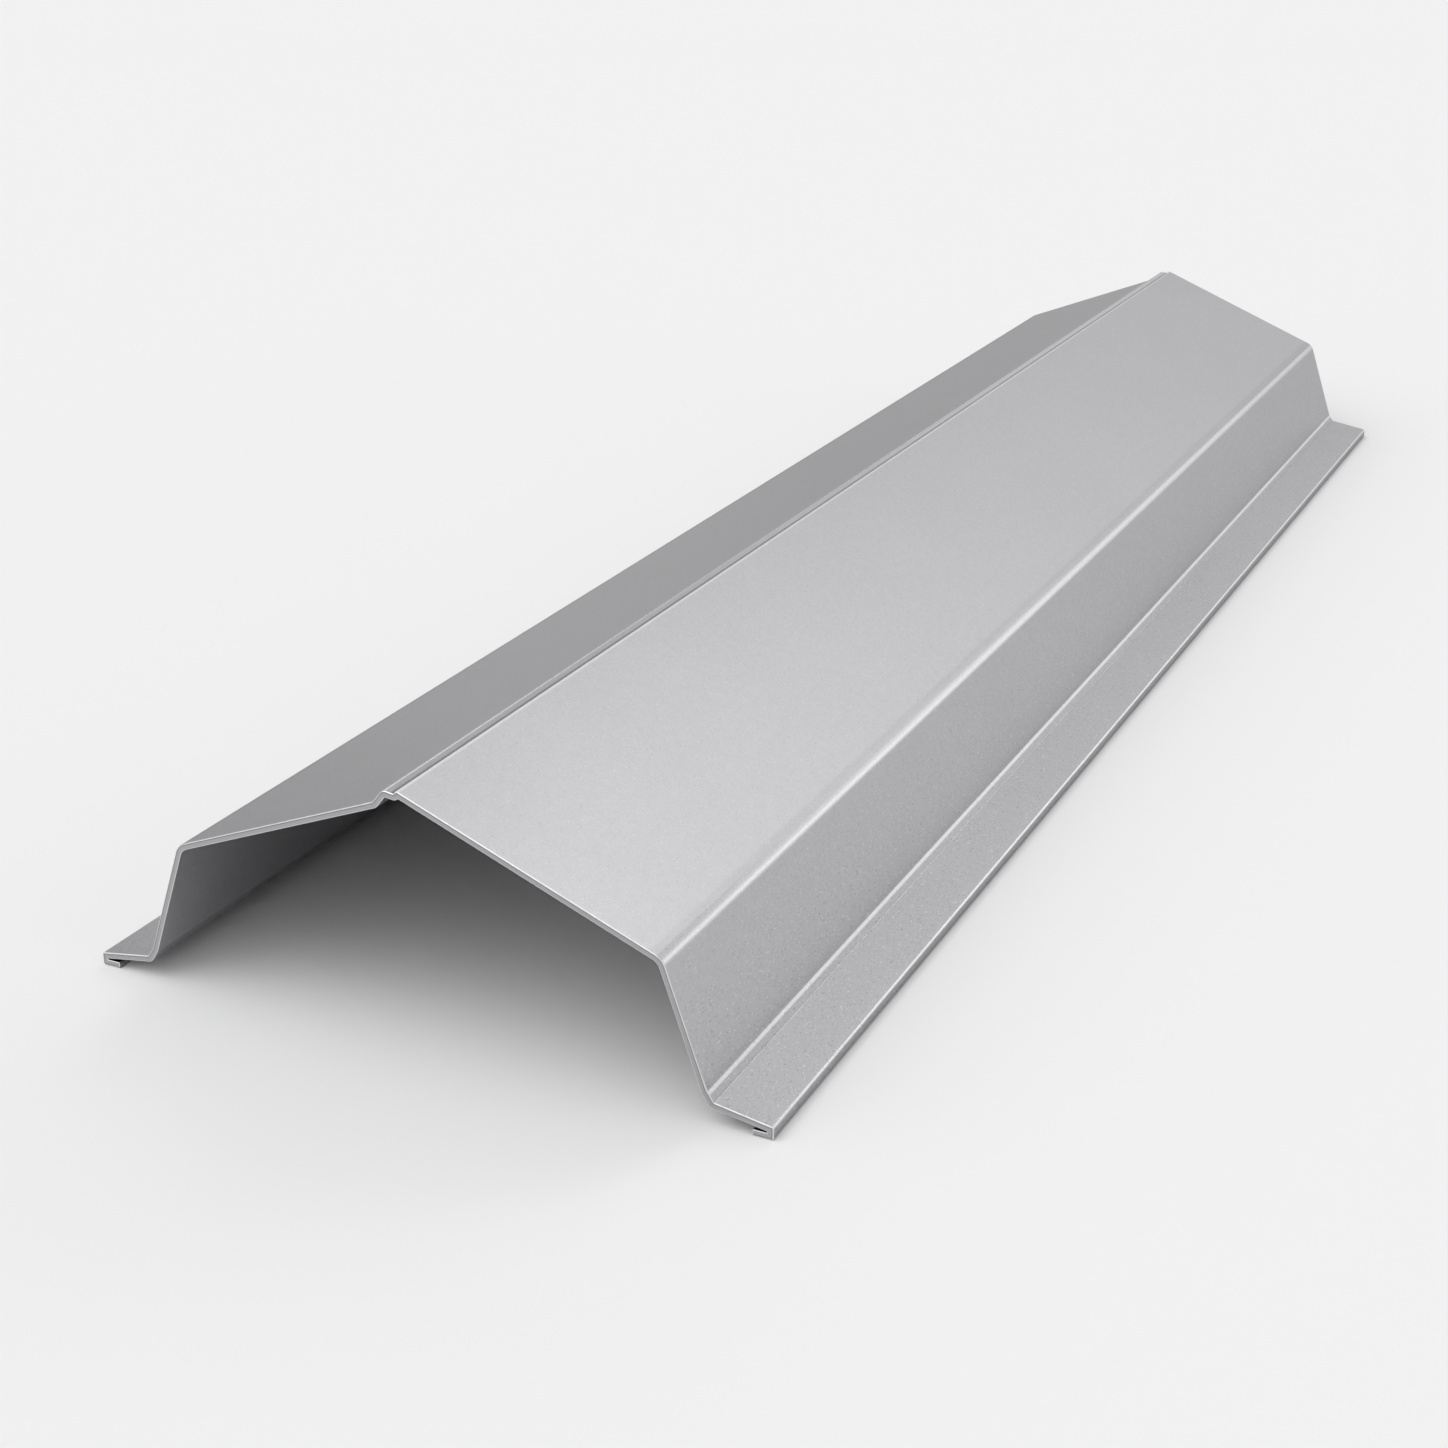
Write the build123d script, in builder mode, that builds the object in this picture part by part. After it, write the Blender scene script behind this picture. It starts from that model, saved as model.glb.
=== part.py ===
"""Ridge cap: one aluminium sheet, press-braked along its length, with a hem at each foot.

Millimetres, +Z up. The origin is on the floor, midway along the length and midway
between the two hems. The section lies across X and the sheet runs along Y. Every
corner below is where two flat runs of the sheet's top face would meet if the bend
between them were sharp.
"""

from build123d import *

import os
from math import cos, radians, sin, tan

# Sheet and stock
length = 1000.0  # cut length of the cap
sheet = 2.5  # sheet thickness
edge_break = 0.3  # corner taken off both cut ends

# Hems, folded under the outer edge of each flange and pressed square
overall_width = 291.0  # across the noses of the two hems
hem_depth = 8.0  # nose to the free edge of the folded leg
hem_slot = 0.6  # height of the open slot at its closed end
hem_rounding = 0.8  # outside radius of the two corners of each nose

# Flanges and feet
flange_width = 23.0  # nose to the crease at the foot, measured level
flange_fall = 9.5  # degrees that each flange falls outwards
foot_facet = 4.6  # width of the narrow facet between flange and web
foot_angle = 57.0  # degrees that the facet rises from level
foot_bend = 1.0  # inside radius of both bends at the foot

# Webs, shoulders and slopes
web_angle = 70.5  # degrees that each web rises from level
shoulder_height = 61.0  # floor to the shoulder corner
shoulder_bend = 5.0  # inside radius of the shoulder bend
roof_pitch = 21.8  # degrees that each slope rises to the ridge

# Ridge bead, a narrow strip raised above the left slope
lip_offset = 2.5  # from the centre line to the lip where the right slope starts
joggle_drop = 1.3  # lip down to the groove line
joggle_run = 1.3  # lip across to the groove line
joggle_bend = 0.3  # inside radius of the groove line
bead_strip = 4.8  # width of the strip between groove line and bead corner
strip_pitch = 8.0  # degrees that the strip rises away from the groove line
bead_rise = 52.0  # degrees that the step between strip and left slope rises
bead_crest_bend = 0.4  # inside radius of the bend on top of the step
bead_foot_bend = 1.0  # inside radius of the bend at the bottom of the step


def on_slope(distance_from_shoulder):
    """Height of a slope's top face at a level distance in from its shoulder corner."""
    return shoulder_height + distance_from_shoulder * tan(radians(roof_pitch))


# Hem: the nose stands upright and the folded leg lies flat on the floor
nose_x = overall_width / 2
flange_over_slot = sheet + hem_slot + sheet / cos(radians(flange_fall))
nose_height = flange_over_slot - sheet * tan(radians(flange_fall))
nose_top = (nose_x, nose_height)
nose_foot = (nose_x, 0.0)
leg_end = (nose_x - hem_depth, 0.0)

# Corners of the top face from the foot up to the shoulder
crease = (
    nose_x - flange_width,
    nose_height + flange_width * tan(radians(flange_fall)),
)
web_foot = (
    crease[0] - foot_facet * cos(radians(foot_angle)),
    crease[1] + foot_facet * sin(radians(foot_angle)),
)
shoulder = (
    web_foot[0] - (shoulder_height - web_foot[1]) / tan(radians(web_angle)),
    shoulder_height,
)

# Corners of the ridge from the right slope across to the left slope
lip = (-lip_offset, on_slope(shoulder[0] + lip_offset))
groove = (lip[0] - joggle_run, lip[1] - joggle_drop)
bead_crest = (
    groove[0] - bead_strip * cos(radians(strip_pitch)),
    groove[1] + bead_strip * sin(radians(strip_pitch)),
)
bead_height = bead_crest[1] - on_slope(shoulder[0] + bead_crest[0])
bead_run = bead_height / (tan(radians(bead_rise)) - tan(radians(roof_pitch)))
bead_foot = (
    bead_crest[0] - bead_run,
    on_slope(shoulder[0] + bead_crest[0] - bead_run),
)


def mirrored(point):
    """The same corner on the left side of the section."""
    return (-point[0], point[1])


right_side = [shoulder, web_foot, crease, nose_top, nose_foot, leg_end]
left_side = [mirrored(point) for point in reversed(right_side)]
ridge = [bead_foot, bead_crest, groove, lip]

# A bend that is rounded on the top face has its inside radius underneath
shoulder_top_radius = shoulder_bend + sheet
bead_crest_top_radius = bead_crest_bend + sheet
side_radii = [shoulder_top_radius, foot_bend, foot_bend, 0, 0]
ridge_radii = [bead_foot_bend, bead_crest_top_radius, joggle_bend, 0]
bend_radii = side_radii[::-1] + ridge_radii + side_radii

with BuildPart() as ridge_cap:
    with BuildSketch(Plane.XZ) as section:
        with BuildLine() as fold:
            FilletPolyline(left_side + ridge + right_side, radius=bend_radii)
            offset(amount=sheet, side=Side.RIGHT)
        make_face()
        corners_across = section.vertices().group_by(Axis.X)
        fillet(corners_across[0] + corners_across[-1], hem_rounding)
    extrude(amount=length / 2, both=True)
    cut_ends = ridge_cap.faces().filter_by(Axis.Y)
    chamfer(cut_ends.edges(), edge_break)

ridge_cap.part.label = "ridge_cap"

os.makedirs("parts", exist_ok=True)
export_step(ridge_cap.part, "parts/ridge_cap.step")
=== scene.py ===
"""Dresses the ridge cap: one aluminium sheet, press-braked along its length.

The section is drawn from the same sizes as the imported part, swept to length by a
Geometry Nodes tree, and finished with broken edges and a satin metal surface.
Metres, +Z up, the sheet runs along Y.
"""

import logging
import math
from dataclasses import dataclass, field
from enum import Enum
from itertools import accumulate

import bpy
from mathutils import Matrix, Vector


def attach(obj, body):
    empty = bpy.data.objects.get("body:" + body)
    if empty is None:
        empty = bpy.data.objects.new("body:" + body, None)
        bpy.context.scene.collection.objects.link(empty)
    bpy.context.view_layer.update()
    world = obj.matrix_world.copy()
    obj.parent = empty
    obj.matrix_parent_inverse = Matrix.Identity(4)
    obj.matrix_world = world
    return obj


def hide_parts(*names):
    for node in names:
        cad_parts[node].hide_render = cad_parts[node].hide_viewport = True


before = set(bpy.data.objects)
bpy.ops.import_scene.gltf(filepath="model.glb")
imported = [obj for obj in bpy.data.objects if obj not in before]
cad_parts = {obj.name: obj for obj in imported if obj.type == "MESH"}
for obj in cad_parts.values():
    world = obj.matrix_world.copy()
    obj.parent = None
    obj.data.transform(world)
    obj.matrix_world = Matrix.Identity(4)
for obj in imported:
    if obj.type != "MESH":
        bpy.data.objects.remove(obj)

log = logging.getLogger("ridge_cap")

MM = 0.001
BEND = "bend"  # the mesh's value for how bent the sheet is, 1 in the middle of a bend
DEPTH = "depth"  # its value for how deep into the sheet a point is, 1 on the inner face
OCTAVE_SHARE = 0.55  # strength of each finer octave of a noise, against the one before


class Fold(Enum):
    """How a bend is made, seen on the sheet's outer face."""

    HILL = "rounded, and rounder outside than inside"
    VALLEY = "hollow outside"
    SQUARED = "pressed to a corner, sharp inside"


@dataclass(frozen=True)
class Bend:
    """One corner of the outer face.

    Args:
        corner: Where the two flat runs beside it would meet, as (x, z).
        radius: The radius that the press tool leaves inside the fold, or outside a squared one.
        fold: How it is made.
    """

    corner: Vector
    radius: float
    fold: Fold

    def outer_radius(self, sheet: float) -> float:
        """Radius of this bend on the outer face of a sheet of that thickness."""
        return self.radius + (sheet if self.fold is Fold.HILL else 0.0)

    def mirrored(self) -> "Bend":
        """The same bend on the other side of the section."""
        return Bend(Vector((-self.corner.x, self.corner.y)), self.radius, self.fold)


@dataclass(frozen=True)
class Station:
    """A place along the section, from one free edge to the other.

    Args:
        outer: The point on the outer face, as (x, z).
        inner: The point on the inner face across from it.
        bend: 1 in the middle of a bend, 0 on a flat run.
    """

    outer: Vector
    inner: Vector
    bend: float = 0.0


def polar(angle: float, length: float = 1.0) -> Vector:
    """A 2-D vector from its angle in degrees, measured from +X, and its length."""
    return Vector((math.cos(math.radians(angle)), math.sin(math.radians(angle)))) * length


def left_of(way: Vector) -> Vector:
    """The direction a quarter turn to the left of another."""
    return Vector((-way.y, way.x))


def grey(tone: float) -> tuple[float, float, float, float]:
    """An opaque grey of that tone, with 1 as white."""
    return (tone, tone, tone, 1.0)


def bent_run(corners: list[Vector], bends: list[Bend], sheet: float) -> list[Station]:
    """Bends a sheet along an open run of straight lines.

    Args:
        corners: Where the flat runs meet, and the two free edges.
        bends: The bend at each inner corner.
        sheet: The sheet's thickness.

    Returns:
        The run's stations, with each bend in facets of about three degrees.
    """
    degrees_per_facet = 3.0
    fewest_facets = 4
    first = left_of((corners[1] - corners[0]).normalized())
    last = left_of((corners[-1] - corners[-2]).normalized())
    stations = [Station(corners[0], corners[0] - first * sheet)]
    for before, bend, after in zip(corners, bends, corners[2:]):
        corner = bend.corner
        out_before = left_of((corner - before).normalized())
        out_after = left_of((after - corner).normalized())
        mitre = (out_before + out_after) / (1 + out_before.dot(out_after))
        inside = corner - mitre * sheet
        if bend.radius == 0:
            stations.append(Station(corner, inside))
            continue
        turn = math.degrees(math.asin(out_before.cross(out_after)))
        radius = math.copysign(bend.outer_radius(sheet), -turn)
        start = math.degrees(math.atan2(out_before.y, out_before.x))
        facets = max(fewest_facets, round(abs(turn) / degrees_per_facet))
        for step in range(facets + 1):
            outward = polar(start + turn * step / facets)
            outer = corner - mitre * radius + outward * radius
            inner = inside if bend.fold is Fold.SQUARED else outer - outward * sheet
            how_bent = math.sqrt(max(0.0, math.sin(math.pi * step / facets)))
            stations.append(Station(outer, inner, how_bent))
    return stations + [Station(corners[-1], corners[-1] - last * sheet)]


class Origin(Enum):
    """What a distance across the unrolled sheet is measured from, and its attribute's name."""

    EDGE = "from_edge"
    LIP = "from_lip"


@dataclass(frozen=True)
class PaintedLightLine:
    """A painted highlight along the whole sheet beside a bend, or painted shade where its tone is
    negative.

    Args:
        name: Where it is.
        origin: What its distance is measured from.
        centre: That distance, across the unrolled outer face.
        half_width: Its middle to where it has faded away.
        tone: How much lighter it is than the sheet, or darker where negative.
    """

    name: str
    origin: Origin
    centre: float
    half_width: float
    tone: float

    @property
    def full_half_width(self) -> float:
        """Its middle to where it starts to fade."""
        return self.half_width / 3


@dataclass(frozen=True)
class CapSection:
    """The cap's section, from the sizes that its press brake is set to."""

    sheet: float = 2.5 * MM
    overall_width: float = 291.0 * MM
    hem_depth: float = 8.0 * MM
    hem_slot: float = 0.6 * MM
    hem_rounding: float = 0.8 * MM
    flange_width: float = 23.0 * MM
    flange_fall: float = 9.5
    foot_facet: float = 4.6 * MM
    foot_angle: float = 57.0
    foot_bend: float = 1.0 * MM
    web_angle: float = 70.5
    shoulder_height: float = 61.0 * MM
    shoulder_bend: float = 5.0 * MM
    roof_pitch: float = 21.8
    lip_offset: float = 2.5 * MM
    joggle_drop: float = 1.3 * MM
    joggle_run: float = 1.3 * MM
    joggle_bend: float = 0.3 * MM
    bead_strip: float = 4.8 * MM
    strip_pitch: float = 8.0
    bead_rise: float = 52.0
    bead_crest_bend: float = 0.4 * MM
    bead_foot_bend: float = 1.0 * MM

    @property
    def nose_height(self) -> float:
        """Height of the nose, whose leg lies flat under the falling flange.

        Returns:
            Floor to the nose's top corner.
        """
        fall = math.radians(self.flange_fall)
        over_slot = self.sheet + self.hem_slot + self.sheet / math.cos(fall)
        return over_slot - self.sheet * math.tan(fall)

    def slope_point(self, x: float, shoulder_x: float) -> Vector:
        """The point of a slope's outer face at x.

        Args:
            x: How far to the right of the centre line it is.
            shoulder_x: How far to the right the slope's own shoulder is.

        Returns:
            The point, as (x, z).
        """
        run = abs(shoulder_x - x)
        rise = run * math.tan(math.radians(self.roof_pitch))
        return Vector((x, self.shoulder_height + rise))

    def right_bends(self) -> list[Bend]:
        """Bends of the outer face from the right shoulder down round the hem.

        Returns:
            The shoulder, the top and the bottom of the facet, and the nose's two corners.
        """
        nose_x = self.overall_width / 2
        crease_rise = self.flange_width * math.tan(math.radians(self.flange_fall))
        crease = Vector((nose_x - self.flange_width, self.nose_height + crease_rise))
        web_foot = crease + polar(180 - self.foot_angle, self.foot_facet)
        web_run = (self.shoulder_height - web_foot.y) / math.tan(math.radians(self.web_angle))
        shoulder = Vector((web_foot.x - web_run, self.shoulder_height))
        return [
            Bend(shoulder, self.shoulder_bend, Fold.HILL),
            Bend(web_foot, self.foot_bend, Fold.VALLEY),
            Bend(crease, self.foot_bend, Fold.VALLEY),
            Bend(Vector((nose_x, self.nose_height)), self.hem_rounding, Fold.SQUARED),
            Bend(Vector((nose_x, 0.0)), self.hem_rounding, Fold.SQUARED),
        ]

    def ridge_bends(self, shoulder_x: float) -> list[Bend]:
        """Bends of the ridge bead, from the left slope across to the right one.

        Args:
            shoulder_x: How far the shoulder corners stand from the centre line.

        Returns:
            The bead's foot and crest, the groove line and the lip.
        """
        lip = self.slope_point(-self.lip_offset, shoulder_x)
        groove = lip - Vector((self.joggle_run, self.joggle_drop))
        crest = groove + polar(180 - self.strip_pitch, self.bead_strip)
        height = crest.y - self.slope_point(crest.x, -shoulder_x).y
        step, pitch = math.radians(self.bead_rise), math.radians(self.roof_pitch)
        foot_x = crest.x - height / (math.tan(step) - math.tan(pitch))
        return [
            Bend(self.slope_point(foot_x, -shoulder_x), self.bead_foot_bend, Fold.VALLEY),
            Bend(crest, self.bead_crest_bend, Fold.HILL),
            Bend(groove, self.joggle_bend, Fold.VALLEY),
            Bend(lip, 0.0, Fold.SQUARED),
        ]

    def bends(self) -> list[Bend]:
        """Every bend of the outer face.

        Returns:
            The bends, from the left hem across to the right one.
        """
        right = self.right_bends()
        left = [bend.mirrored() for bend in reversed(right)]
        return left + self.ridge_bends(right[0].corner.x) + right

    def stations(self) -> list[Station]:
        """The whole section.

        Returns:
            Its stations, from the left free edge across to the right one.
        """
        bends = self.bends()
        leg_end = Vector((self.overall_width / 2 - self.hem_depth, 0.0))
        corners = [leg_end * Vector((-1.0, 1.0)), *(bend.corner for bend in bends), leg_end]
        return bent_run(corners, bends, self.sheet)

    def unrolled(self, origin: Origin) -> list[float]:
        """How far each station is from the nearer free edge, or from the lip rightwards.

        Args:
            origin: What the distances are measured from.

        Returns:
            A distance across the unrolled outer face for each station.
        """
        places = [station.outer for station in self.stations()]
        steps = [(b - a).length for a, b in zip(places, places[1:])]
        across = [0.0, *accumulate(steps)]
        if origin is Origin.EDGE:
            return [min(distance, across[-1] - distance) for distance in across]
        lip = next(bend.corner for bend in self.bends() if bend.radius == 0)
        to_lip = across[places.index(lip)]
        return [distance - to_lip for distance in across]

    def reach(self, corner: Vector) -> float:
        """How far a bend is from the free edge, across the unrolled outer face.

        Args:
            corner: The bend's corner.

        Returns:
            The distance to the middle of the bend.
        """
        distances = self.unrolled(Origin.EDGE)
        gaps = [(station.outer - corner).length for station in self.stations()]
        return distances[gaps.index(min(gaps))]

    def painted_light_lines(self) -> list[PaintedLightLine]:
        """The painted highlight and painted shade lines beside the bends.

        Returns:
            The lines of both sides, then those of the ridge.
        """
        corners = (bend.corner for bend in self.right_bends())
        shoulder, web_foot, crease, nose_top, nose_foot = map(self.reach, corners)
        groove = -math.hypot(self.joggle_drop, self.joggle_run)
        edge, lip = Origin.EDGE, Origin.LIP
        # Positive tones are painted highlights where the bends catch the light. Negative ones are
        # painted shade: the dips beside them, the creases, the nose's shaded face and foot, and the
        # groove under the lip.
        return [
            PaintedLightLine("shoulder, slope side", edge, shoulder + 3.0 * MM, 3.2 * MM, -0.08),
            PaintedLightLine("shoulder, web side", edge, shoulder - 0.8 * MM, 2.4 * MM, 0.32),
            PaintedLightLine("above the foot", edge, web_foot + 1.6 * MM, 1.5 * MM, -0.04),
            PaintedLightLine("top of the facet", edge, web_foot - 0.9 * MM, 1.1 * MM, 0.52),
            PaintedLightLine("bottom of the facet", edge, crease + 1.5 * MM, 2.2 * MM, -0.06),
            PaintedLightLine("foot crease", edge, crease, 0.8 * MM, -0.13),
            PaintedLightLine("top of the nose", edge, nose_top, 0.7 * MM, 0.55),
            PaintedLightLine("face of the nose", edge, nose_foot + 2.4 * MM, 2.2 * MM, -0.14),
            PaintedLightLine("foot of the nose", edge, nose_foot + 0.8 * MM, 1.6 * MM, -0.2),
            PaintedLightLine("bead crest", lip, groove - self.bead_strip, 1.3 * MM, 0.12),
            PaintedLightLine("bead strip", lip, groove - 0.6 * self.bead_strip, 3.4 * MM, 0.56),
            PaintedLightLine("groove", lip, groove - 0.5 * MM, 1.4 * MM, -0.44),
            PaintedLightLine("lip", lip, 0.3 * MM, 1.1 * MM, 0.24),
        ]


class Ramp(Enum):
    """How a fade runs between its two ends, as Blender names it."""

    EVEN = "LINEAR"
    SOFT = "SMOOTHSTEP"


@dataclass
class NodeBoard:
    """A node tree with short ways to add, set and link its nodes.

    Args:
        tree: The shader or geometry tree that the nodes go into.
    """

    tree: bpy.types.NodeTree

    def add(self, kind: str, label: str, **settings: object) -> bpy.types.Node:
        """Adds one node.

        Args:
            kind: The node's type, as Blender names it.
            label: What the node does, in plain words.
            settings: Properties of the node to set.

        Returns:
            The new node.
        """
        node = self.tree.nodes.new(kind)
        node.label = label
        for name, value in settings.items():
            setattr(node, name, value)
        return node

    def feed(self, node: bpy.types.Node, inputs: dict[str | int, object]) -> bpy.types.Node:
        """Sets or links a node's inputs.

        Args:
            node: The node whose inputs are fed.
            inputs: A plain value, or an output socket to link, for each input.

        Returns:
            The same node.
        """
        for name, value in inputs.items():
            if isinstance(value, bpy.types.NodeSocket):
                self.tree.links.new(value, node.inputs[name])
            else:
                node.inputs[name].default_value = value
        return node

    def math(self, operation: str, label: str, *values: object) -> bpy.types.NodeSocket:
        """Adds a Math node.

        Args:
            operation: The Math node's operation.
            label: What the result is.
            values: A number or an output socket for each input, in order.

        Returns:
            The result's socket.
        """
        node = self.add("ShaderNodeMath", label, operation=operation)
        return self.feed(node, dict(enumerate(values))).outputs[0]

    def attribute(self, label: str, name: str) -> bpy.types.NodeSocket:
        """Reads one of the mesh's own values, and returns its socket."""
        return self.add("ShaderNodeAttribute", label, attribute_name=name).outputs["Fac"]

    def place(self) -> bpy.types.NodeSocket:
        """The socket of the coordinates that are fixed to the piece."""
        return self.add("ShaderNodeTexCoord", "Place on the sheet").outputs["Object"]

    def drawn_out(
        self, label: str, place: bpy.types.NodeSocket, width: float, length: float
    ) -> bpy.types.NodeSocket:
        """Stretches coordinates along the sheet.

        Args:
            label: What is drawn out.
            place: The coordinates to stretch.
            width: Size of one spot across the sheet.
            length: Its size along the sheet.

        Returns:
            The stretched coordinates.
        """
        node = self.add("ShaderNodeMapping", label)
        return self.feed(node, {"Vector": place, "Scale": (1.0, width / length, 1.0)}).outputs[0]

    def fade(
        self,
        label: str,
        value: bpy.types.NodeSocket,
        span: tuple[float, float],
        ends: tuple[float, float] = (0.0, 1.0),
        ramp: Ramp = Ramp.SOFT,
    ) -> bpy.types.NodeSocket:
        """Fades from one number to another.

        Args:
            label: What the result is.
            value: The value that drives the fade.
            span: That value where the fade begins and where it ends.
            ends: The result before the fade and after it.
            ramp: How the fade runs in between.

        Returns:
            The result's socket.
        """
        node = self.add("ShaderNodeMapRange", label, interpolation_type=ramp.value)
        inputs = {
            "Value": value,
            "From Min": span[0],
            "From Max": span[1],
            "To Min": ends[0],
            "To Max": ends[1],
        }
        return self.feed(node, inputs).outputs["Result"]

    def noise(
        self, label: str, place: bpy.types.NodeSocket, size: float, detail: float
    ) -> bpy.types.NodeSocket:
        """Adds a noise pattern with one half as its middle value.

        Args:
            label: What the pattern is.
            place: The coordinates it is laid out on.
            size: Size of one spot in those coordinates.
            detail: How many finer octaves it has.

        Returns:
            The pattern's value.
        """
        node = self.add("ShaderNodeTexNoise", label)
        inputs = {"Vector": place, "Scale": 1 / size, "Detail": detail, "Roughness": OCTAVE_SHARE}
        return self.feed(node, inputs).outputs["Fac"]

    def bump(self, label: str, inputs: dict[str | int, object]) -> bpy.types.NodeSocket:
        """Turns a relief into normals, and returns their socket."""
        return self.feed(self.add("ShaderNodeBump", label), inputs).outputs[0]


@dataclass(frozen=True)
class MetalFinish:
    """What all finishes of the bare metal share.

    Args:
        name: The material's name.
        colour: The metal's colour where its tone is one.
    """

    name: str
    colour: tuple[float, float, float]

    def board(self) -> tuple[bpy.types.Material, NodeBoard]:
        """Starts the material.

        Returns:
            The new material, and the board that its nodes go on.
        """
        material = bpy.data.materials.new(self.name)
        material.use_nodes = True
        return material, NodeBoard(material.node_tree)

    def dress(
        self, board: NodeBoard, tone: bpy.types.NodeSocket, surface: dict[str | int, object]
    ) -> None:
        """Feeds the shader.

        Args:
            board: The material's node tree.
            tone: What the colour is scaled by, about one.
            surface: The shader's other inputs.
        """
        toned = board.add("ShaderNodeVectorMath", "Toned colour", operation="SCALE")
        board.feed(toned, {0: self.colour, "Scale": tone})
        shader = board.tree.nodes["Principled BSDF"]
        board.feed(shader, {"Base Color": toned.outputs[0], "Metallic": 1.0, **surface})


@dataclass(frozen=True)
class SatinFace(MetalFinish):
    """The rolled face of the sheet: satin aluminium with a fine grain, burnished on bends, with
    painted highlight and painted shade lines beside the bends and painted shade inside the hems.

    A name that ends in tone is how much lighter or darker that pattern makes the metal.

    Args:
        grazing_tint: How much the metal reflects at a grazing view.
        roughness: Roughness of the flat runs.
        bend_roughness: Roughness in the middle of a bend.
        bend_press: How flat the grain is pressed there, with 1 as smooth.
        grain: Size of one spot of the grain, and grain_depth its depth.
        grain_roughness: How far the roughness varies with the grain.
        mottle: Size of one spot of the mottle.
        cloud: Size of one patch of uneven tone.
        streak_width: Width of a rolling line, and streak_length its length.
        streak_relief: How high the rolling lines stand, against the grain.
        mark_width: Width of a scuff, and mark_length its length.
        mark_from: Level of the noise at which a scuff begins, and mark_full where it is full.
        handled_from: Distance from the free edge from which the scuffs get fainter.
        handled_to: Distance from which they are at their faintest.
        handled_least: How strong they are there.
        hem_shade_mouth: Distance in from the nose at which the painted shade in the hem begins.
        hem_shade_full: Distance at which it is full, with hem_shade_tone as all the light it
            leaves.
    """

    name: str = "satin_rolled_face"
    colour: tuple[float, float, float] = (0.545, 0.544, 0.56)
    grazing_tint: float = 0.7
    roughness: float = 0.36
    bend_roughness: float = 0.28
    bend_press: float = 0.8
    grain: float = 0.8 * MM
    grain_depth: float = 0.03 * MM
    grain_tone: float = 0.26
    grain_roughness: float = 0.16
    mottle: float = 3.5 * MM
    mottle_tone: float = 0.08
    cloud: float = 90.0 * MM
    cloud_tone: float = 0.06
    streak_width: float = 0.5 * MM
    streak_length: float = 70.0 * MM
    streak_tone: float = 0.04
    streak_relief: float = 0.5
    mark_width: float = 0.55 * MM
    mark_length: float = 1.6 * MM
    mark_from: float = 0.63
    mark_full: float = 0.74
    mark_tone: float = 0.34
    handled_from: float = 57.0 * MM
    handled_to: float = 95.0 * MM
    handled_least: float = 0.4
    hem_shade_mouth: float = 8.2 * MM
    hem_shade_full: float = 6.8 * MM
    hem_shade_tone: float = 0.06

    def with_painted_line(
        self,
        board: NodeBoard,
        line: PaintedLightLine,
        tone: bpy.types.NodeSocket,
        pressed: bpy.types.NodeSocket,
    ) -> tuple[bpy.types.NodeSocket, bpy.types.NodeSocket]:
        """Adds one painted highlight or painted shade line, where the grain is also pressed flat.

        Args:
            board: The material's node tree.
            line: The line to add.
            tone: The tone so far.
            pressed: How flat the grain is pressed so far.

        Returns:
            The tone and the flatness with the line.
        """
        across = board.attribute(line.name, line.origin.value)
        offset = board.math("SUBTRACT", line.name, across, line.centre)
        away = board.math("ABSOLUTE", "Away from the line", offset)
        span = (line.full_half_width, line.half_width)
        on_line = board.fade("Soft sides", away, span, (1.0, 0.0))
        # Painted light: the line lightens or darkens the colour.
        tone = board.math("MULTIPLY_ADD", "Tone with " + line.name, on_line, line.tone, tone)
        return tone, board.math("ADD", "Pressed flatter", pressed, on_line)

    def painted_hem_shade(
        self, board: NodeBoard, place: bpy.types.NodeSocket, nose_x: float
    ) -> bpy.types.NodeSocket:
        """Finds the inside of the hems, darkened there with painted shade.

        Args:
            board: The material's node tree.
            place: Object coordinates.
            nose_x: How far the noses stand from the centre line.

        Returns:
            How dark the metal is there, with 1 elsewhere.
        """
        where = board.add("ShaderNodeSeparateXYZ", "Where it is")
        board.feed(where, {0: place})
        out = board.math("ABSOLUTE", "Out from the middle", where.outputs["X"])
        inner = board.attribute("Inner face", DEPTH)
        span = (nose_x - self.hem_shade_mouth, nose_x - self.hem_shade_full)
        # Painted shade: the inner face inside the hem is made darker.
        slot = board.fade("Inside the hem", out, span, (0.0, self.hem_shade_tone - 1.0))
        return board.math("MULTIPLY_ADD", "Soil in the hem", slot, inner, 1.0)

    def marks(self, board: NodeBoard, place: bpy.types.NodeSocket) -> bpy.types.NodeSocket:
        """Scatters short scuffs along the sheet, the strongest below the shoulders.

        Args:
            board: The material's node tree.
            place: Object coordinates.

        Returns:
            How much brighter the scuffs are, or duller where negative.
        """
        along = board.drawn_out("Short along the sheet", place, self.mark_width, self.mark_length)
        scatter = board.noise("Scuffs", along, self.mark_width, detail=1.0)
        bright = board.fade("Bright scuffs", scatter, (self.mark_from, self.mark_full))
        dull = board.fade("Dull scuffs", scatter, (1.0 - self.mark_from, 1.0 - self.mark_full))
        handled = board.fade(
            "Handled more below the shoulders",
            board.attribute("Across the sheet", Origin.EDGE.value),
            (self.handled_from, self.handled_to),
            (1.0, self.handled_least),
            Ramp.EVEN,
        )
        scuffs = board.math("SUBTRACT", "Scuffs of both kinds", bright, dull)
        return board.math("MULTIPLY", "Scuffs where it is handled", scuffs, handled)

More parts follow.
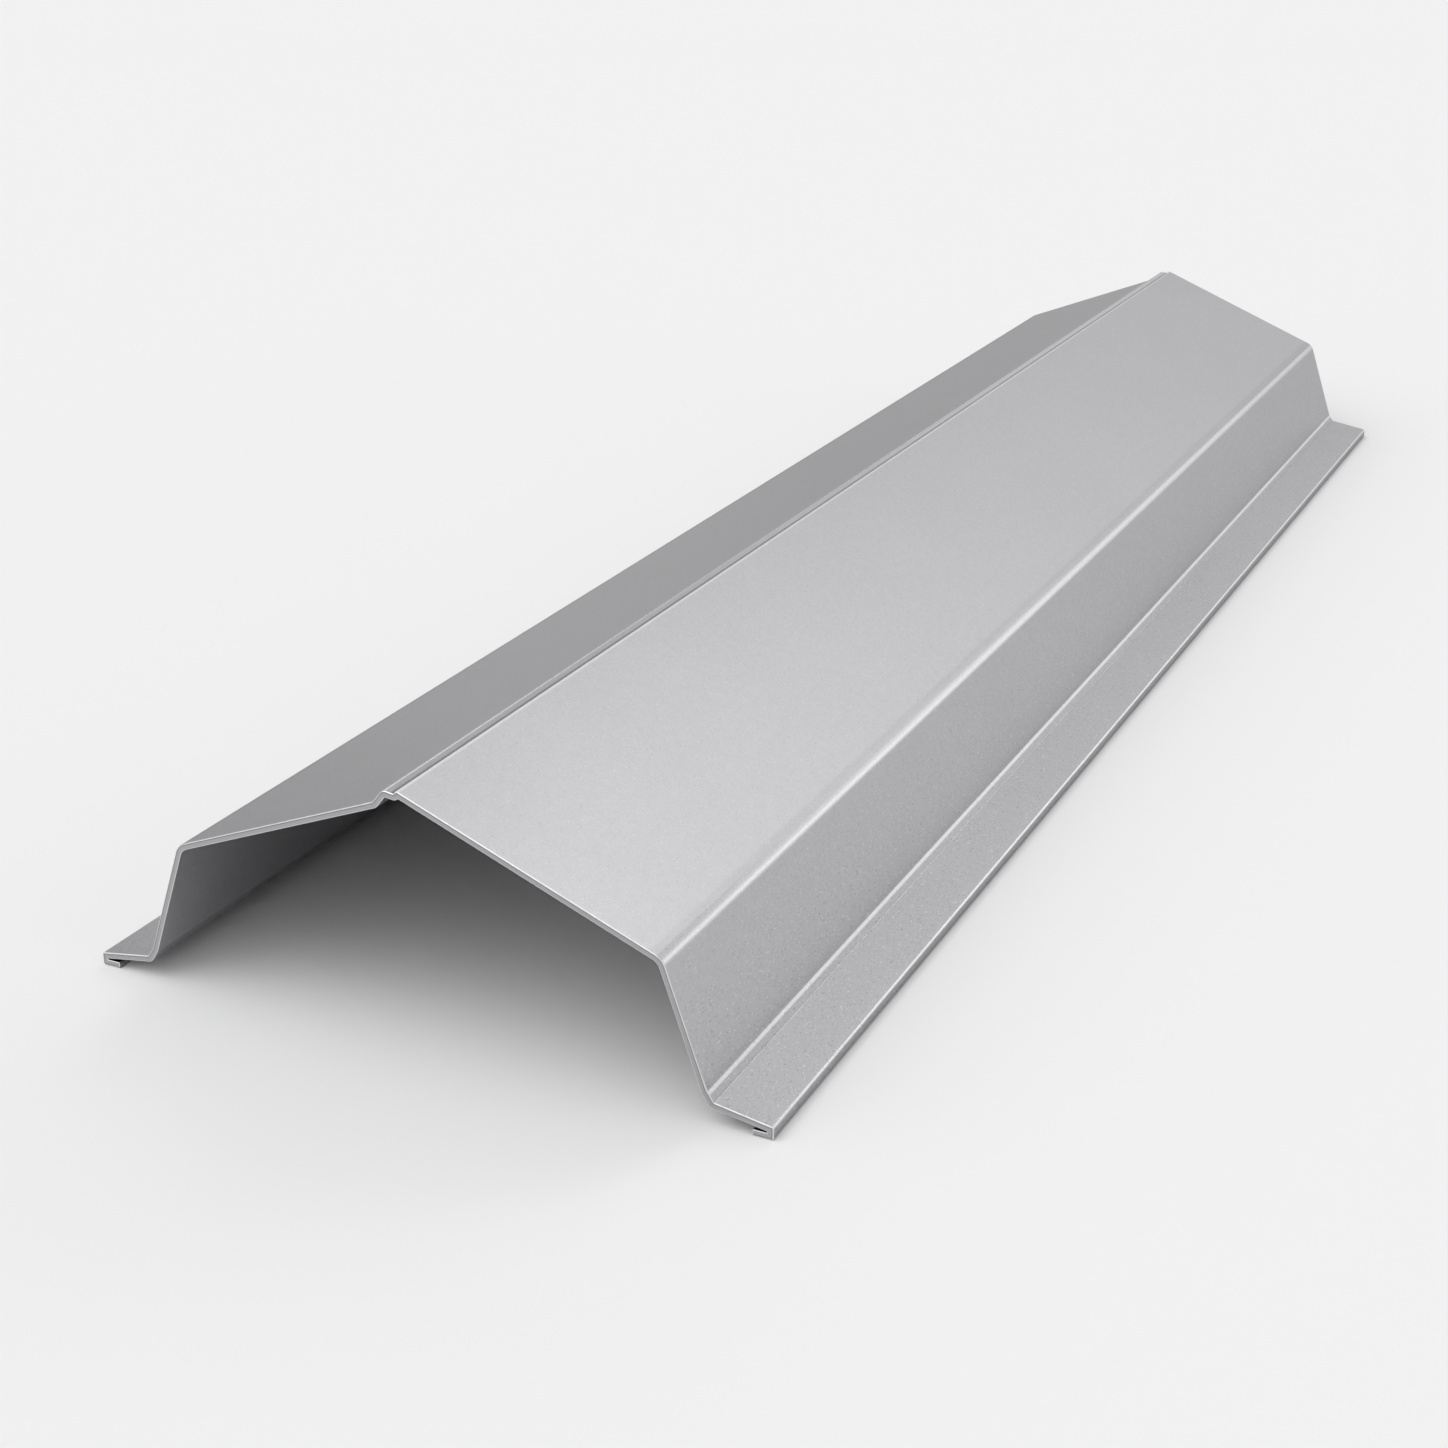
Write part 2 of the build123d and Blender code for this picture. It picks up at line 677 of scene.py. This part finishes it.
    def surface(
        self,
        board: NodeBoard,
        grain: bpy.types.NodeSocket,
        streak: bpy.types.NodeSocket,
        bend: bpy.types.NodeSocket,
        pressed: bpy.types.NodeSocket,
    ) -> dict[str | int, object]:
        """Finds how rough the metal is and how its grain stands.

        Args:
            board: The material's node tree.
            grain: The fine grain.
            streak: The rolling lines.
            bend: How bent the sheet is.
            pressed: How flat the grain is pressed.

        Returns:
            The shader's inputs for both, and the grazing tint.
        """
        spread = self.grain_roughness
        least = self.roughness - spread / 2
        rough = board.math("MULTIPLY_ADD", "Rougher in the grain", grain, spread, least)
        burnish = self.bend_roughness - self.roughness
        rough = board.math("MULTIPLY_ADD", "Smoother on bends", bend, burnish, rough)
        lines = self.streak_relief
        relief = board.math("MULTIPLY_ADD", "Relief of the lines", streak, lines, grain)
        left = board.math("SUBTRACT", "Grain that is left", 1.0, pressed)
        left.node.use_clamp = True
        inputs = {"Height": relief, "Distance": self.grain_depth, "Strength": left}
        normal = board.bump("Grain relief", inputs)
        return {"Roughness": rough, "Normal": normal, "Specular Tint": grey(self.grazing_tint)}

    def build(self, section: CapSection) -> bpy.types.Material:
        """Makes the material.

        Args:
            section: The section that the sheet is pressed to.

        Returns:
            The finished material.
        """
        material, board = self.board()
        place = board.place()
        along = board.drawn_out(
            "Drawn out along the sheet", place, self.streak_width, self.streak_length
        )
        grain = board.noise("Fine grain", place, self.grain, detail=3.0)
        streak = board.noise("Rolling lines", along, self.streak_width, detail=2.0)
        mottle = board.noise("Mottle", place, self.mottle, detail=1.0)
        cloud = board.noise("Uneven tone", place, self.cloud, detail=2.0)
        patterns = (
            ("Tone with grain", grain, self.grain_tone),
            ("Tone with mottle", mottle, self.mottle_tone),
            ("Tone with clouds", cloud, self.cloud_tone),
            ("Tone with rolling lines", streak, self.streak_tone),
        )
        tone: float | bpy.types.NodeSocket = 1.0 - sum(share for *_, share in patterns) / 2
        for label, pattern, share in patterns:
            tone = board.math("MULTIPLY_ADD", label, pattern, share, tone)
        marks = self.marks(board, place)
        tone = board.math("MULTIPLY_ADD", "Tone with marks", marks, self.mark_tone, tone)

        bend = board.attribute("Burnished bend", BEND)
        pressed = board.math("MULTIPLY", "Pressed on bends", bend, self.bend_press)
        for line in section.painted_light_lines():
            tone, pressed = self.with_painted_line(board, line, tone, pressed)
        # Painted shade inside the hems, on the inner face where little light reaches.
        hem_shade = self.painted_hem_shade(board, place, section.overall_width / 2)
        tone = board.math("MULTIPLY", "Tone with soil", tone, hem_shade)

        self.dress(board, tone, self.surface(board, grain, streak, bend, pressed))
        return material


@dataclass(frozen=True)
class ShearedFace(MetalFinish):
    """The cut ends: a smooth darker band where the shear went in, then torn metal, and a painted
    highlight along the burr on the inner edge.
    """

    name: str = "sheared_end_face"
    colour: tuple[float, float, float] = (0.44, 0.44, 0.45)
    roughness: float = 0.42
    smooth_band: float = 0.32
    band_blur: float = 0.08
    smooth_tone: float = 0.62
    torn_tone: float = 1.02
    burr_highlight: float = 0.86
    burr_highlight_tone: float = 0.35
    mark: float = 0.45 * MM
    mark_depth: float = 0.02 * MM
    mark_tone: float = 0.24

    def build(self) -> bpy.types.Material:
        """Makes the material.

        Returns:
            The finished material.
        """
        material, board = self.board()
        marks = board.noise("Shear marks", board.place(), self.mark, detail=2.0)
        depth = board.attribute("Depth into the sheet", DEPTH)
        span = (self.smooth_band - self.band_blur, self.smooth_band + self.band_blur)
        band = board.fade("Smooth band, then torn", depth, span, (self.smooth_tone, self.torn_tone))
        middle = -self.mark_tone / 2
        tone = board.math("MULTIPLY_ADD", "Tone with marks", marks, self.mark_tone, middle)
        tone = board.math("ADD", "Tone with bands", tone, band)
        # Painted highlight: the inner edge of the cut end is made lighter where a burr catches the
        # light.
        burr_highlight = board.math("GREATER_THAN", "Burr on the far edge", depth, self.burr_highlight)
        tone = board.math("MULTIPLY_ADD", "Tone with the burr", burr_highlight, self.burr_highlight_tone, tone)
        normal = board.bump("Shear relief", {"Height": marks, "Distance": self.mark_depth})
        self.dress(board, tone, {"Roughness": self.roughness, "Normal": normal})
        return material


@dataclass(frozen=True)
class HighlightedEdge(MetalFinish):
    """The broken edges of the cut ends: bare metal rubbed in handling, painted light as a
    highlight, less so on the webs.
    """

    name: str = "rubbed_edge_painted_highlight"
    # A light colour: painted highlight on the broken edges.
    colour: tuple[float, float, float] = (0.8, 0.8, 0.81)
    roughness: float = 0.32
    patch: float = 2.5 * MM
    patch_tone: float = 0.4
    web_highlight_drop: float = -0.3
    web_middle: float = 0.6

    def build(self, section: CapSection) -> bpy.types.Material:
        """Makes the material.

        Args:
            section: The section, whose webs get less of the painted highlight on their edges.

        Returns:
            The finished material.
        """
        material, board = self.board()
        rub = board.noise("Rubbed more or less", board.place(), self.patch, detail=2.0)
        least = 1.0 - self.patch_tone / 2
        tone = board.math("MULTIPLY_ADD", "Tone with rubbing", rub, self.patch_tone, least)
        shoulder, web_foot, *_ = (section.reach(bend.corner) for bend in section.right_bends())
        across = board.attribute("Across the sheet", Origin.EDGE.value)
        offset = board.math("SUBTRACT", "From mid web", across, (shoulder + web_foot) / 2)
        away = board.math("ABSOLUTE", "Away from mid web", offset)
        half_web = (shoulder - web_foot) / 2
        span = (half_web * self.web_middle, half_web)
        web = board.fade("On the web", away, span, (self.web_highlight_drop, 0.0))
        # Less painted highlight on the webs' edges.
        tone = board.math("ADD", "Duller on the webs", tone, web)
        self.dress(board, tone, {"Roughness": self.roughness})
        return material


@dataclass
class PressedSheet:
    """The ridge cap itself, one bent sheet.

    Args:
        section: The sheet's section.
        length: The cut length.
        edge_break: How far the outer edge of the cut ends is broken.
        edge_facets: Facets across a broken edge.
        inner_share: How much of the break the inner edge gets.
        sharp_from: Degrees between two faces from which their edge counts as sharp.
        end_from: Share of half the length past which a point lies on a cut end.
        weld: Points closer together than this are one.
        face: Finish of the rolled faces.
        cut: Finish of the cut ends.
        edge: Finish of the broken edges, with a painted highlight.
    """

    section: CapSection = field(default_factory=CapSection)
    length: float = 1000.0 * MM
    edge_break: float = 0.4 * MM
    edge_facets: int = 3
    inner_share: float = 0.4
    sharp_from: float = 30.0
    end_from: float = 0.99
    weld: float = 0.001 * MM
    face: SatinFace = field(default_factory=SatinFace)
    cut: ShearedFace = field(default_factory=ShearedFace)
    edge: HighlightedEdge = field(default_factory=HighlightedEdge)

    def section_mesh(self) -> bpy.types.Mesh:
        """The cut end as a strip of quads from one free edge to the other.

        Returns:
            The mesh. Each point has how bent and how deep into the sheet it is, and its
            distances across the unrolled outer face, out of reach on the inner face.
        """
        stations = self.section.stations()
        outer = [station.outer for station in stations]
        inner = [station.inner for station in stations]
        count = len(stations)
        mesh = bpy.data.meshes.new("cut_end")
        quads = [(i, i + 1, count + i + 1, count + i) for i in range(count - 1)]
        mesh.from_pydata([(p.x, 0.0, p.y) for p in outer + inner], [], quads)
        inside = [0.0] * count
        bent = [station.bend for station in stations]
        marks = {BEND: bent + inside, DEPTH: inside + [1.0] * count}
        for origin in Origin:
            marks[origin.value] = self.section.unrolled(origin) + [self.length] * count
        for name, values in marks.items():
            mesh.attributes.new(name, "FLOAT", "POINT").data.foreach_set("value", values)
        return mesh

    def drawn(
        self,
        board: NodeBoard,
        cut_end: bpy.types.NodeSocket,
        length: bpy.types.NodeSocket,
        half: bpy.types.NodeSocket,
    ) -> bpy.types.NodeSocket:
        """Draws the cut end out to length.

        Args:
            board: The tree.
            cut_end: The cut end, in the middle of the length.
            length: The cut length.
            half: Half of it.

        Returns:
            The sheet, closed at both ends.
        """
        back_half = board.add("ShaderNodeCombineXYZ", "To the front end")
        board.feed(back_half, {"Y": board.math("MULTIPLY", "Forwards", half, -1.0)})
        whole_length = board.add("ShaderNodeCombineXYZ", "To the back end")
        board.feed(whole_length, {"Y": length})
        welded = board.add("GeometryNodeMergeByDistance", "Pressed corners meet")
        board.feed(welded, {"Geometry": cut_end, "Distance": self.weld})
        front = board.add("GeometryNodeTransform", "Front end in place")
        board.feed(front, {"Geometry": welded.outputs[0], "Translation": back_half.outputs[0]})
        rest = board.add("GeometryNodeExtrudeMesh", "Drawn to length", mode="FACES")
        inputs = {
            "Mesh": front.outputs[0],
            "Offset": whole_length.outputs[0],
            "Offset Scale": 1.0,
            "Individual": False,
        }
        board.feed(rest, inputs)
        turned = board.add("GeometryNodeFlipFaces", "Front end faces out")
        board.feed(turned, {"Mesh": front.outputs[0]})
        joined = board.add("GeometryNodeJoinGeometry", "Front end and the rest")
        board.feed(joined, {"Geometry": rest.outputs["Mesh"]})
        board.feed(joined, {"Geometry": turned.outputs[0]})
        closed = board.add("GeometryNodeMergeByDistance", "Closed")
        return board.feed(closed, {"Geometry": joined.outputs[0], "Distance": self.weld}).outputs[0]

    def on_cut_end(self, board: NodeBoard, half: bpy.types.NodeSocket) -> bpy.types.NodeSocket:
        """Finds what lies on a cut end.

        Args:
            board: The tree.
            half: Half the length.

        Returns:
            1 on a cut end, 0 elsewhere.
        """
        where = board.add("ShaderNodeSeparateXYZ", "Where it is")
        board.feed(where, {0: board.add("GeometryNodeInputPosition", "Place").outputs[0]})
        from_middle = board.math("ABSOLUTE", "Distance from the middle", where.outputs["Y"])
        near_end = board.math("MULTIPLY", "Just short of the ends", half, self.end_from)
        return board.math("GREATER_THAN", "On a cut end", from_middle, near_end)

    def edged(
        self, board: NodeBoard, sheet: bpy.types.NodeSocket, at_end: bpy.types.NodeSocket
    ) -> bpy.types.NodeSocket:
        """Marks the cut ends' edges to be broken, and keeps those along the sheet crisp.

        Args:
            board: The tree.
            sheet: The closed sheet.
            at_end: 1 on a cut end.

        Returns:
            The sheet with its edges marked.
        """
        depth = board.add(
            "GeometryNodeInputNamedAttribute", "Depth into the sheet", data_type="FLOAT"
        )
        board.feed(depth, {"Name": DEPTH})
        angle = board.add("GeometryNodeInputMeshEdgeAngle", "How sharp").outputs["Unsigned Angle"]
        sharp = board.math("GREATER_THAN", "Sharp edge", angle, math.radians(self.sharp_from))
        cut_edge = board.math("MULTIPLY", "Sharp edge of a cut end", sharp, at_end)
        long_edge = board.math("SUBTRACT", "Sharp edge along the sheet", sharp, cut_edge)
        loss = self.inner_share - 1.0
        how_deep = depth.outputs["Attribute"]
        share = board.math("MULTIPLY_ADD", "Less broken inside", how_deep, loss, 1.0)
        weight = board.math("MULTIPLY", "How far broken", cut_edge, share)
        broken = board.add(
            "GeometryNodeStoreNamedAttribute", "Broken edges", data_type="FLOAT", domain="EDGE"
        )
        board.feed(broken, {"Geometry": sheet, "Name": "bevel_weight_edge", "Value": weight})
        shaded = board.add("GeometryNodeSetShadeSmooth", "Smooth")
        board.feed(shaded, {"Geometry": broken.outputs[0], "Shade Smooth": True})
        crisp = board.add("GeometryNodeSetShadeSmooth", "Crisp along the sheet", domain="EDGE")
        inputs = {"Geometry": shaded.outputs[0], "Selection": long_edge, "Shade Smooth": False}
        return board.feed(crisp, inputs).outputs[0]

    def sweep_tree(self) -> bpy.types.GeometryNodeTree:
        """Builds the tree that draws the cut end out to length, edges it and dresses it.

        Returns:
            The tree, with its sizes and finishes as named inputs.
        """
        tree = bpy.data.node_groups.new("sheet_drawn_to_length", "GeometryNodeTree")
        for name, kind in (
            ("Cut End", "NodeSocketGeometry"),
            ("Length", "NodeSocketFloat"),
            ("Face Finish", "NodeSocketMaterial"),
            ("Cut Finish", "NodeSocketMaterial"),
        ):
            tree.interface.new_socket(name, in_out="INPUT", socket_type=kind)
        tree.interface.new_socket("Sheet", in_out="OUTPUT", socket_type="NodeSocketGeometry")

        board = NodeBoard(tree)
        given = board.add("NodeGroupInput", "Sizes and finishes").outputs
        half = board.math("MULTIPLY", "Half the length", given["Length"], 0.5)
        at_end = self.on_cut_end(board, half)
        closed = self.drawn(board, given["Cut End"], given["Length"], half)
        whole = board.add("GeometryNodeRealizeInstances", "One mesh")
        board.feed(whole, {"Geometry": self.edged(board, closed, at_end)})
        rolled = board.add("GeometryNodeSetMaterial", "Rolled faces")
        board.feed(rolled, {"Geometry": whole.outputs[0], "Material": given["Face Finish"]})
        sheared = board.add("GeometryNodeSetMaterial", "Cut ends")
        board.feed(sheared, {"Geometry": rolled.outputs[0], "Material": given["Cut Finish"]})
        board.feed(sheared, {"Selection": at_end})
        done = board.add("NodeGroupOutput", "Sheet")
        board.feed(done, {"Sheet": sheared.outputs[0]})
        return tree

    def add_sweep(
        self, piece: bpy.types.Object, face: bpy.types.Material, cut: bpy.types.Material
    ) -> None:
        """Adds the modifier that draws the cut end out to length.

        Args:
            piece: The piece, still only its cut end.
            face: The finish of the rolled faces.
            cut: The finish of the cut ends.
        """
        sweep = piece.modifiers.new("Sweep", "NODES")
        sweep.node_group = self.sweep_tree()
        given = {"Length": self.length, "Face Finish": face, "Cut Finish": cut}
        for socket in sweep.node_group.interface.items_tree:
            if socket.in_out == "INPUT" and socket.name in given:
                sweep[socket.identifier] = given[socket.name]

    def add_edge_break(self, piece: bpy.types.Object, edge_slot: int) -> None:
        """Adds the modifiers that break the marked edges and keep the flat runs flat.

        Args:
            piece: The piece.
            edge_slot: The place of the edges' finish among the piece's materials.
        """
        bevel = piece.modifiers.new("Edge break", "BEVEL")
        bevel.limit_method = "WEIGHT"
        bevel.width = self.edge_break
        bevel.segments = self.edge_facets
        bevel.use_clamp_overlap = False
        bevel.material = edge_slot
        normals = piece.modifiers.new("Flat runs stay flat", "WEIGHTED_NORMAL")
        normals.keep_sharp = True

    def build(self) -> bpy.types.Object:
        """Sweeps, edges and dresses the sheet.

        Returns:
            The finished piece, a plain mesh.
        """
        piece = bpy.data.objects.new("pressed_sheet", self.section_mesh())
        bpy.context.scene.collection.objects.link(piece)
        face, cut = self.face.build(self.section), self.cut.build()
        edge = self.edge.build(self.section)
        finishes = [face, cut, edge]
        for finish in finishes:
            piece.data.materials.append(finish)
        self.add_sweep(piece, face, cut)
        self.add_edge_break(piece, finishes.index(edge))

        depsgraph = bpy.context.evaluated_depsgraph_get()
        mesh = bpy.data.meshes.new_from_object(
            piece.evaluated_get(depsgraph), preserve_all_data_layers=True, depsgraph=depsgraph
        )
        piece.modifiers.clear()
        piece.data = mesh
        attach(piece, "root")
        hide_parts("ridge_cap")
        return piece


@dataclass(frozen=True)
class Camera:
    """The photograph's viewpoint."""

    place: tuple[float, float, float] = (0.4259, -1.1250, 0.4418)
    azimuth: float = 25.62
    elevation: float = 22.65
    roll: float = 0.14
    lens: float = 57.74
    sensor: float = 36.0
    nearest_seen: float = 0.01
    farthest_seen: float = 100.0

    def build(self) -> bpy.types.Object:
        """Sets the camera up.

        Returns:
            The scene's camera.
        """
        data = bpy.data.cameras.new("photo_view")
        data.lens, data.sensor_width = self.lens, self.sensor
        data.clip_start, data.clip_end = self.nearest_seen, self.farthest_seen
        camera = bpy.data.objects.new("photo_view", data)
        bpy.context.scene.collection.objects.link(camera)
        turn, tilt = math.radians(self.azimuth), math.radians(self.elevation)
        stand = Matrix.Rotation(turn, 4, "Z") @ Matrix.Rotation(math.pi / 2 - tilt, 4, "X")
        roll = Matrix.Rotation(math.radians(self.roll), 4, "Z")
        camera.matrix_world = Matrix.Translation(self.place) @ stand @ roll
        bpy.context.scene.camera = camera
        return camera


@dataclass(frozen=True)
class SoftPanel:
    """A far, soft-edged light panel.

    Args:
        name: Where it hangs.
        azimuth: Its direction in degrees, from -Y towards +X.
        elevation: Its height above the floor in degrees.
        strength: Its strength in the middle.
        tightness: How fast it fades away from the middle.
    """

    name: str
    azimuth: float
    elevation: float
    strength: float
    tightness: float

    def direction(self) -> tuple[float, float, float]:
        """Where the panel hangs, seen from the cap.

        Returns:
            The unit vector towards its middle.
        """
        turn, tilt = math.radians(self.azimuth), math.radians(self.elevation)
        level = math.cos(tilt)
        return (math.sin(turn) * level, -math.cos(turn) * level, math.sin(tilt))


@dataclass(frozen=True)
class Studio:
    """A pale floor and plain soft light."""

    floor_size: float = 40.0
    floor_gap: float = 0.1 * MM
    floor_tone: float = 0.86
    floor_roughness: float = 0.9
    background: float = 0.87
    panels: tuple[SoftPanel, ...] = (
        SoftPanel("front", 0.0, 52.0, 1.04, 5.0),
        SoftPanel("front left", 300.0, 52.0, 2.04, 5.0),
        SoftPanel("low on the right", 90.0, 16.0, 1.2, 6.0),
        SoftPanel("behind on the right, low", 146.0, 11.0, 1.62, 70.0),
        SoftPanel("behind, right of centre, low", 162.0, 11.0, 1.14, 70.0),
        SoftPanel("behind, right of centre", 162.0, 29.0, 1.5, 70.0),
        SoftPanel("behind, low", 180.0, 20.0, 1.0, 70.0),
        SoftPanel("behind, higher", 180.0, 38.0, 1.11, 70.0),
        SoftPanel("behind, high", 180.0, 48.0, 1.96, 70.0),
        SoftPanel("behind, left of centre, low", 200.0, 11.0, 1.01, 70.0),
        SoftPanel("behind on the left, low", 220.0, 11.0, 0.5, 70.0),
        SoftPanel("behind on the left", 220.0, 20.0, 1.02, 70.0),
    )

    def floor(self) -> bpy.types.Object:
        """Lays the floor.

        Returns:
            The floor.
        """
        half = self.floor_size / 2
        mesh = bpy.data.meshes.new("floor")
        corners = [(-half, -half), (half, -half), (half, half), (-half, half)]
        mesh.from_pydata([(x, y, -self.floor_gap) for x, y in corners], [], [(0, 1, 2, 3)])
        floor = bpy.data.objects.new("floor", mesh)
        bpy.context.scene.collection.objects.link(floor)
        material = bpy.data.materials.new("floor")
        material.use_nodes = True
        shader = material.node_tree.nodes["Principled BSDF"]
        shader.inputs["Base Color"].default_value = grey(self.floor_tone)
        shader.inputs["Roughness"].default_value = self.floor_roughness
        shader.inputs["Specular IOR Level"].default_value = 0.0
        mesh.materials.append(material)
        return floor

    def world(self) -> bpy.types.World:
        """Hangs the panels, and shows the camera the background's tone.

        Returns:
            The scene's world.
        """
        world = bpy.data.worlds.new("studio")
        world.use_nodes = True
        bpy.context.scene.world = world
        board = NodeBoard(world.node_tree)
        looking = board.add("ShaderNodeTexCoord", "Direction").outputs["Generated"]
        light: float | bpy.types.NodeSocket = 0.0
        for panel in self.panels:
            facing = board.add("ShaderNodeVectorMath", panel.name, operation="DOT_PRODUCT")
            board.feed(facing, {0: looking, 1: panel.direction()})
            towards, tight = facing.outputs["Value"], panel.tightness
            fade = board.math("MULTIPLY_ADD", "Fade from the middle", towards, tight, -tight)
            glow = board.math("EXPONENT", "Glow", fade)
            light = board.math("MULTIPLY_ADD", "Light so far", glow, panel.strength, light)
        panels = world.node_tree.nodes["Background"]
        board.feed(panels, {"Color": grey(1.0), "Strength": light})
        backdrop = board.add("ShaderNodeBackground", "What the camera sees")
        board.feed(backdrop, {"Color": grey(1.0), "Strength": self.background})
        seen = board.add("ShaderNodeLightPath", "Kind of ray").outputs["Is Camera Ray"]
        mix = board.add("ShaderNodeMixShader", "Backdrop for the camera")
        board.feed(mix, {0: seen, 1: panels.outputs[0], 2: backdrop.outputs[0]})
        board.feed(world.node_tree.nodes["World Output"], {"Surface": mix.outputs[0]})
        return world

    def build(self) -> None:
        """Sets up the floor and the panels."""
        self.floor()
        self.world()


def main() -> None:
    """Builds the cap, the studio and the camera."""
    logging.basicConfig(level=logging.INFO, format="%(name)s: %(message)s")
    bpy.context.scene.view_settings.view_transform = "Standard"
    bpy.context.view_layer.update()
    piece = PressedSheet().build()
    log.info("%s: %d faces", piece.name, len(piece.data.polygons))
    Studio().build()
    Camera().build()


if __name__ == "__main__":
    main()
